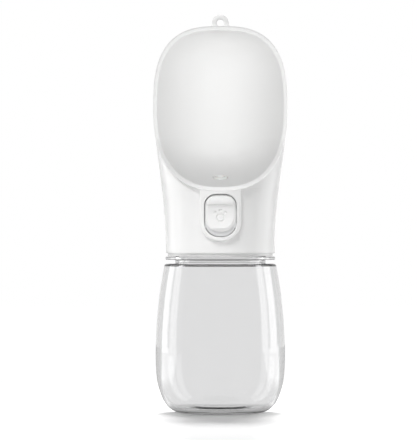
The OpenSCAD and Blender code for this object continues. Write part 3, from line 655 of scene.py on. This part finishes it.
def slot_loop(grow):
    """The slot's outline, grown by a distance."""
    return outline(slot_w + 2 * grow, slot_z - grow, slot_z + slot_h + grow,
                   slot_low_corner + grow, slot_high_corner + grow)


def tongue_loop(inset):
    """The tongue's outer outline, moved in by a distance."""
    outer_w = slot_w + 2 * bezel_wall
    return outline(outer_w - 2 * inset, slot_z - bezel_wall + inset, bezel_top,
                   bezel_corner - inset, bezel_high_corner)


quarter = np.radians(np.linspace(0, 90, 8))
rings = [bezel_ring(slot_loop(0), back) for back in (slot_depth, 3, 1.2, slot_round)]
rings += [bezel_ring(slot_loop(slot_round * (1 - math.cos(a))), slot_round * (1 - math.sin(a)))
          for a in quarter[1:]]
rings += [bezel_ring(slot_loop(slot_round) * (1 - share) + tongue_loop(bezel_round) * share, 0)
          for share in (0.25, 0.5, 0.75)]
rings += [bezel_ring(tongue_loop(bezel_round * (1 - math.sin(a))), bezel_round * (1 - math.cos(a)))
          for a in quarter]
rings += [bezel_ring(tongue_loop(0), back) for back in (1.6, bezel_proud + 0.3)]
rings += [bezel_ring(tongue_loop(1), slot_depth)]
bezel = surface("button_bezel", np.stack(rings), round_rows=True)
bezel.data.materials.append(white_abs)
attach(bezel, "head")
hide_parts("bowl")

# ---------------------------------------------------------------- button cap
# The thumb button, glossy white ABS: a ridge at the top to push down on, and a hollow face with a
# paw sunk into it. A steel clip behind it holds it on the carrier and lets it slide.
cap_w = 16.3
cap_h = 19.8
cap_z = 98.225
cap_low_corner = 7
cap_high_corner = 5.8
cap_back = -30
cap_edge = 0.2
front_low = -flare(cap_z) - bezel_proud
front_high = -flare(cap_z + cap_h) - bezel_proud
face_low = 1.9
face_side = 1.1
face_top = 0.6
face_low_corner = cap_low_corner - 0.6
face_high_corner = cap_high_corner - 0.4
low_chamfer = 1.4
high_chamfer = 0.6
chamfer_flat = 0.6
hollow_start = 0.2
hollow_fall = 0.9
hollow_bow = 4.4
ridge_low = cap_h - 6
ridge_arch = 0.65
ridge_gap = 0.3
ridge_fall = 1.6
ridge_bow = 3.4
ridge_ends = 1.2
step_w = 0.35
paw_z = 105.6
paw_sink = 0.6
pad_half = (2.4, 2.2)
pad_hole_half = (1.7, 1.55)
pad_soft = 0.35
toe_half = (0.75, 0.6)
toe_soft = 0.45
toes = ((-2.6, 2.7), (0, 3.95), (2.6, 2.7))


def cap_face(x, z):
    """Depth of the cap's face: a hollow, an arched step, and a ridge that falls back at its two ends."""
    rise = z - cap_z
    aside = np.abs(2 * x / cap_w)
    share = np.clip((rise - face_low) / (ridge_low - face_low), 0, 1)
    hollow = front_low - hollow_start + hollow_fall * share + hollow_bow * share * (1 - share)
    top = np.clip((rise - ridge_low - ridge_gap) / (cap_h - ridge_low - ridge_gap), 0, 1)
    first, last = front_low - ridge_gap, front_high + ridge_fall
    ridge = first + (last - first) * top - ridge_bow * top * (1 - top) + ridge_ends * aside ** 3
    step = ease(np.clip((rise - ridge_low - ridge_arch * (1 - aside ** 2)) / step_w, 0, 1))
    return hollow * (1 - step) + ridge * step


def inside_outline(x, z, width, low, high, low_corner, high_corner):
    """Distance inside a rectangle whose low and high corners are arcs of two radii; less than 0 outside."""
    middle = (low + high) / 2
    corner = np.where(z < middle, low_corner, high_corner)
    across = np.abs(x) - width / 2 + corner
    along = np.abs(z - middle) - (high - low) / 2 + corner
    outside = np.hypot(np.maximum(across, 0), np.maximum(along, 0))
    return corner - outside - np.minimum(np.maximum(across, along), 0)


def spot_mark(x, z, at_x, at_z, half_x, half_z, soft):
    """A mark with a flat middle and soft sides: 1 inside its ellipse, falling to 0 over the soft width."""
    away = (np.hypot((x - at_x) / half_x, (z - at_z) / half_z) - 1) * min(half_x, half_z)
    return ease(np.clip(0.5 - away / soft, 0, 1))


def paw(x, z):
    """A plain paw, sunk into the face: a ring for the pad and three toes above it."""
    pad = spot_mark(x, z, 0, paw_z, *pad_half, pad_soft) - spot_mark(x, z, 0, paw_z, *pad_hole_half, pad_soft)
    return pad + sum(spot_mark(x, z, at_x, paw_z + at_z, *toe_half, toe_soft) for at_x, at_z in toes)


step_top = ridge_low + 1.1
rows = cap_z + np.concatenate([[0, 0], np.linspace(0.02, face_low, 18),
                               np.linspace(face_low, ridge_low, 90)[1:],
                               np.linspace(ridge_low, step_top, 26)[1:],
                               np.linspace(step_top, cap_h, 40)[1:], [cap_h]])
corner = np.where(rows < cap_z + cap_h / 2, cap_low_corner, cap_high_corner)
in_corner = np.maximum(0, np.abs(rows - cap_z - cap_h / 2) - cap_h / 2 + corner)
half = cap_w / 2 - corner + np.sqrt(np.maximum(0, corner ** 2 - in_corner ** 2))
across = np.sin(np.radians(np.linspace(-90, 90, 161)))
x = half[:, None] * across
z = rows[:, None] + 0 * x
cap_top = cap_z + cap_h
to_edge = np.maximum(0, inside_outline(x, z, cap_w, cap_z, cap_top, cap_low_corner, cap_high_corner))
to_face = np.maximum(0, -inside_outline(x, z, cap_w - 2 * face_side, cap_z + face_low, cap_top - face_top,
                                        face_low_corner, face_high_corner))
share = to_face / (to_face + to_edge + 1e-6)
chamfer = high_chamfer + (low_chamfer - high_chamfer) * ease(1 - (z - cap_z) / cap_h)
fall = chamfer_flat * share + (1 - chamfer_flat) * (1 - np.sqrt(1 - share ** 2))
y = np.minimum(cap_face(x, z) + chamfer * fall + paw_sink * paw(x, z), cap_back - cap_edge)
front = np.stack([x, y, z], axis=2)
back = front[:, ::-1].copy()
back[..., 1] = cap_back
ring = np.concatenate([front, back], axis=1)
for end in (0, -1):
    ring[end, :, 0] = 0
    ring[end, :, 1] = ring[end, :, 1].mean()
cap = surface("button_cap_moulding", ring)
cap.data.materials.append(white_abs)
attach(cap, "cap")
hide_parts("button_cap")

# ---------------------------------------------------------------- grey mouldings
# The valve housing, the rod's gland, the button's carrier, the rocker lever, the valve stem and the
# spring's retainer are injection moulded in light grey polypropylene, with a fine spark-eroded grain
# and faint clouding where the plastic flowed. The threaded cap is moulded in the shell's white.
grey_light = (0.80, 0.805, 0.81, 1)
grey_dark = (0.74, 0.745, 0.75, 1)


def mixed(tree, share, first, second):
    """A colour between two, by a varying share."""
    return node(tree, "ShaderNodeMix", {"data_type": "RGBA"},
                {"Factor": share, "A": first, "B": second}, "Result")


def carried(material, *names):
    """Puts a finish on CAD pieces that stay as they are."""
    for name in names:
        mesh = frame["nodes"][name].data
        mesh.materials.clear()
        mesh.materials.append(material)


grey, tree, shader = finish_material("grey_polypropylene", IOR=1.49)
cloud = noise(tree, 7, 3.0, 0.6)
feed(tree, shader, "Base Color", mixed(tree, cloud, grey_light, grey_dark))
feed(tree, shader, "Roughness", 0.36 + 0.14 * cloud)
bump(tree, shader, noise(tree, 0.35, 2.0), 0.008)
carried(grey, "valve_housing", "rod_gland", "button_carrier", "rocker_lever", "valve_stem", "spring_retainer")
carried(white_abs, "threaded_cap")

# ---------------------------------------------------------------- slot apron
# A thin plate on the lower end of the button's carrier, cut from the same grey plastic. It closes
# the slot below the cap, moves in with the carrier, and the cap slides down over it to lock.
apron_gap = 0.4
apron_t = 0.15
apron_corner = 0.2
apron_top = slot_z + slot_low_corner + apron_corner
apron_seat = 0.02
apron_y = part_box("button_carrier")[0].y / mm - apron_seat
apron_loop = outline(slot_w - 2 * apron_gap, slot_z + apron_gap, apron_top,
                     slot_low_corner - apron_gap, apron_corner)
apron = prism("slot_apron", apron_loop, apron_y - apron_t, apron_y)
apron.data.materials.append(grey)
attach(apron, "carrier")

# ---------------------------------------------------------------- silicone seals
# The neck seal, the valve's plug, the outlet's seal and the lip round its mouth are pressed from
# milky silicone, soft and slightly see-through, with a dull skin that holds a little dust.
silicone_clean = (0.90, 0.90, 0.885, 1)
silicone_dull = (0.83, 0.83, 0.81, 1)
lip_profile = [(2.7, -3.5), (3.0, -3.5), (3.05, -0.9), (3.9, -0.8), (3.95, 0.2), (3.9, 0.6), (3.6, 0.95),
               (3.2, 1.05), (2.9, 1.0), (2.7, 0.8)]

silicone, tree, shader = finish_material("milky_silicone", IOR=1.41, Subsurface_Weight=0.08,
                                         Subsurface_Scale=0.001)
dull = noise(tree, 3, 4.0, 0.6)
feed(tree, shader, "Base Color", mixed(tree, dull, silicone_clean, silicone_dull))
feed(tree, shader, "Roughness", 0.42 + 0.2 * dull)
bump(tree, shader, noise(tree, 0.5, 3.0), 0.01)
carried(silicone, "neck_seal", "valve_plug", "outlet_seal")

around = np.radians(np.arange(0, 360, 5))[:, None]
reach, rise = np.array(lip_profile).T[:, None, :]
lip = surface("outlet_lip", np.stack([reach * np.cos(around), outlet_y + reach * np.sin(around),
              outlet_z + reach * np.sin(around) * floor_slope + rise], axis=2), round_rows=True)
lip.data.materials.append(silicone)
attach(lip, "head")

# ---------------------------------------------------------------- rubber seals
# The housing's gasket and the rod's ring are black nitrile rubber, cut from sheet or moulded, with
# a faint grey bloom.
rubber_dark = (0.018, 0.018, 0.019, 1)
rubber_bloom = (0.05, 0.05, 0.052, 1)

rubber, tree, shader = finish_material("black_rubber", IOR=1.5)
bloom = noise(tree, 2, 4.0, 0.65)
feed(tree, shader, "Base Color", mixed(tree, bloom, rubber_dark, rubber_bloom))
feed(tree, shader, "Roughness", 0.5 + 0.25 * bloom)
bump(tree, shader, noise(tree, 0.25, 3.0), 0.012)
carried(rubber, "housing_gasket", "rod_oring")

# ---------------------------------------------------------------- steel parts
# The screws, the lever's pin, the cap's clip and the valve's spring are stainless steel, turned,
# stamped or drawn from wire, and left with a fine uneven sheen.
steel_tone = (0.64, 0.64, 0.65, 1)
steel_dull = (0.52, 0.52, 0.54, 1)

steel, tree, shader = finish_material("stainless_steel", Metallic=1.0)
drawn = noise(tree, 0.8, 5.0, 0.7)
feed(tree, shader, "Base Color", mixed(tree, drawn, steel_tone, steel_dull))
feed(tree, shader, "Roughness", 0.2 + 0.2 * drawn)
bump(tree, shader, noise(tree, 0.12, 2.0), 0.003)
carried(steel, "housing_screws", "shell_screws", "lever_pin", "cap_clip", "valve_spring")

# ---------------------------------------------------------------- studio
# A white sweep in a dim room. The backdrop is white straight behind the bottle and greyer to its
# sides, and tall white cards stand beside it: they draw the clear bottle's edges and its bands.
ambient = 0.33
room = 0.45
room_through = 0.9
floor_reach = 3
floor_glow = 0.06
# Glow added at both sides of the bottle's shadow: painted light that makes the shadow narrower.
painted_shadow_fill = 0.45
floor_white = 0.85
floor_edge = 1.02
floor_mirror = 2.4
floor_beside = 1.25
white_range = (0.25, 0.5)
# How far to the side of the bottle that painted light rises, in metres.
painted_fill_range = (0.012, 0.042)
straight_range = (0.155, 0.37)
beside_range = (1.1, 1.5)
mirror_range = (0.05, 0.16)
foot_shade = 0.55
foot_range = (0.026, 0.036)
drop_y = 1.5
drop_half = 1.6
drop_height = 1.8
drop_side = 0.84
drop_range = (0.25, 0.6)
card_height = 1.4
card_foot = 0.001


def emission(name):
    """A material with one Emission shader. Returns the material, its tree and the shader."""
    material = bpy.data.materials.new(name)
    material.use_nodes = True
    tree = material.node_tree
    tree.nodes.clear()
    return material, tree, tree.nodes.new("ShaderNodeEmission")


def finish_tree(tree, shader, kind="ShaderNodeOutputMaterial"):
    """Links a shader to the output of its tree."""
    tree.links.new(shader.outputs[0], tree.nodes.new(kind).inputs["Surface"])


def ray(tree, name):
    """1 for rays of one kind, 0 for the others."""
    return node(tree, "ShaderNodeLightPath", {}, {}, name)


def fade(tree, value, start, end):
    """A soft step: 0 up to the start, 1 from the end on."""
    return node(tree, "ShaderNodeMapRange", {"interpolation_type": "SMOOTHSTEP"},
                {"Value": value, "From Min": start, "From Max": end}, "Result")


def sheet(name, corners, material, seen):
    """One flat face that is part of the studio. Where it isn't seen, only mirrors and glass show it."""
    mesh = bpy.data.meshes.new(name)
    mesh.from_pydata(corners, [], [(0, 1, 2, 3)])
    mesh.materials.append(material)
    piece = bpy.data.objects.new(name, mesh)
    piece.visible_camera = seen
    bpy.context.scene.collection.objects.link(piece)
    return piece


def upright(name, x, y, width, turn, height, material):
    """A card that stands just off the floor, turned about the vertical by an angle in degrees."""
    along_x, along_y = width / 2 * math.cos(math.radians(turn)), width / 2 * math.sin(math.radians(turn))
    sheet(name, [(x - along_x, y - along_y, card_foot), (x + along_x, y + along_y, card_foot),
                 (x + along_x, y + along_y, height), (x - along_x, y - along_y, height)], material, False)


world = bpy.data.worlds.new("studio")
bpy.context.scene.world = world
world.use_nodes = True
tree = world.node_tree
tree.nodes.clear()
strength = ambient + ray(tree, "Is Camera Ray") * (1 - ambient) \
    + ray(tree, "Is Glossy Ray") * (room - ambient) \
    + ray(tree, "Is Transmission Ray") * (room_through - room)
background = tree.nodes.new("ShaderNodeBackground")
background.inputs["Color"].default_value = (1, 1, 1, 1)
tree.links.new(strength.socket, background.inputs["Strength"])
finish_tree(tree, background, "ShaderNodeOutputWorld")

drop_material, tree, glow = emission("backdrop")
across = node(tree, "ShaderNodeSeparateXYZ", {}, {"Vector": place(tree)}, "X")
aside = fade(tree, across.maths("ABSOLUTE", across), *drop_range)
strength = ambient + ray(tree, "Is Camera Ray") * (1 - ambient) \
    + ray(tree, "Is Glossy Ray") * (1 - ambient - aside * (1 - drop_side))
tree.links.new(strength.socket, glow.inputs["Strength"])
finish_tree(tree, glow)
upright("backdrop", 0, drop_y, 2 * drop_half, 0, drop_height, drop_material)

for name, x, y, width, turn, white in (("left_card", -1.137, 0.63, 0.46, 61, 2.5),
                                       ("left_dim_card", -1.295, 0.113, 0.40, 85, 2.1),
                                       ("right_card", 1.214, 0.466, 0.50, -69, 2.5),
                                       ("right_dim_card", 1.299, -0.045, 0.36, -92, 2.3)):
    material, tree, glow = emission(name)
    strength = ambient + ray(tree, "Is Glossy Ray") * (white - ambient)
    tree.links.new(strength.socket, glow.inputs["Strength"])
    finish_tree(tree, glow)
    upright(name, x, y, width, turn, card_height, material)

# What the camera and the lit pieces see of the floor: a dim glow under the bottle that rises to both sides of
# it, painted light that fills the outer parts of its shadow, paint that takes the back lamp's light and the
# shadow, and plain white from half a metre on.
floor_material, tree, glow = emission("floor")
spot = place(tree)
away = node(tree, "ShaderNodeVectorMath", {"operation": "LENGTH"}, {0: spot}, "Value")
far = fade(tree, away, *white_range)
across = node(tree, "ShaderNodeSeparateXYZ", {}, {"Vector": spot}, "X")
across = across.maths("ABSOLUTE", across)
depth = node(tree, "ShaderNodeSeparateXYZ", {}, {"Vector": spot}, "Y")
# Painted light: the glow rises to both sides of the bottle and fills the outer parts of its shadow, so the
# shadow comes out narrower than the bottle.
near = floor_glow + fade(tree, across, *painted_fill_range) * painted_shadow_fill
direct = near + far * (floor_edge - near)
seen = ray(tree, "Is Camera Ray")
tree.links.new((seen * direct + (1 - seen) * far * ambient).socket, glow.inputs["Strength"])
diffuse = tree.nodes.new("ShaderNodeBsdfDiffuse")
paint_white = floor_white * (1 - far)
paint = node(tree, "ShaderNodeCombineColor", {},
             {"Red": paint_white, "Green": paint_white, "Blue": paint_white})
tree.links.new(paint.socket, diffuse.inputs["Color"])
sweep = tree.nodes.new("ShaderNodeAddShader")
tree.links.new(glow.outputs[0], sweep.inputs[0])
tree.links.new(diffuse.outputs[0], sweep.inputs[1])

# What glass and mirrors show of it: the same sweep as the backdrop straight behind the bottle,
# brighter strips to both sides, and a shade under the foot.
through = ray(tree, "Is Transmission Ray")
behind = depth.maths("MAXIMUM", depth, 0.0)
straight = drop_side + (1 - drop_side) * (1 - fade(tree, across / (behind + 0.12), *straight_range))
straight = room_through + (straight - room_through) * fade(tree, depth, -0.1, 0.0)
beside = fade(tree, across / (behind + 0.01), *beside_range)
beside = beside * fade(tree, depth + across * 0.1, -0.01, 0.01)
straight = straight + (floor_beside - straight) * beside
mirrored = room + (floor_mirror - room) * beside * fade(tree, away, *mirror_range)
under = 1 - (1 - foot_shade) * (1 - fade(tree, away, *foot_range))
in_glass = tree.nodes.new("ShaderNodeEmission")
tree.links.new(((mirrored + through * (straight - mirrored)) * under).socket, in_glass.inputs["Strength"])
both = tree.nodes.new("ShaderNodeMixShader")
tree.links.new(ray(tree, "Is Glossy Ray").socket, both.inputs["Fac"])
tree.links.new(sweep.outputs[0], both.inputs[1])
tree.links.new(in_glass.outputs[0], both.inputs[2])
finish_tree(tree, both)
floor = sheet("floor", [(-floor_reach, -floor_reach, 0), (floor_reach, -floor_reach, 0),
                        (floor_reach, floor_reach, 0), (-floor_reach, floor_reach, 0)], floor_material, True)


def soft_lamp(name, location, width, height, radiance, aim=(0, 0, 0.11)):
    """A soft box that mirrors and glass don't show. Its power follows from its size and brightness."""
    data = bpy.data.lights.new(name, "AREA")
    data.shape = "RECTANGLE"
    data.size, data.size_y = width, height
    data.energy = radiance * math.pi * width * height
    lamp = bpy.data.objects.new(name, data)
    lamp.location = location
    lamp.rotation_mode = "QUATERNION"
    lamp.rotation_quaternion = (Vector(aim) - Vector(location)).to_track_quat("-Z", "Y")
    lamp.visible_glossy = False
    lamp.visible_transmission = False
    bpy.context.scene.collection.objects.link(lamp)
    return lamp


def light_only(lamp, name, pieces):
    """Makes a lamp light some pieces and no others. All pieces still cast shadows from it."""
    group = bpy.data.collections.new(name)
    for piece in pieces:
        group.objects.link(piece)
    lamp.light_linking.receiver_collection = group


outside_pieces = [shell, lug, bezel, cap, apron] + list(frame["nodes"].values())
light_only(soft_lamp("key_box", (-0.9, -1.7, 2.1), 0.9, 0.7, 16.5), "outside", outside_pieces)
light_only(soft_lamp("side_key_box", (-2.0, -1.6, 1.2), 0.9, 0.7, 2.9), "outside", outside_pieces)
light_only(soft_lamp("top_box", (-0.2, -0.9, 2.7), 0.9, 0.7, 5.0), "outside", outside_pieces)
light_only(soft_lamp("bowl_box", (0.1, -3.0, 0.37), 2.0, 0.7, 9.2), "bowl", [bowl, lip])
light_only(soft_lamp("back_box", (0, 0.6, 1.04), 0.45, 0.3, 35.0, (0, 0, 0)), "floor", [floor])
soft_lamp("front_box", (0.1, -3.0, 0.37), 2.0, 0.7, 2.8)
soft_lamp("left_box", (-1.1, 0.7, 0.42), 0.7, 0.8, 1.9)
soft_lamp("right_box", (1.1, 0.7, 0.42), 0.7, 0.8, 5.4)
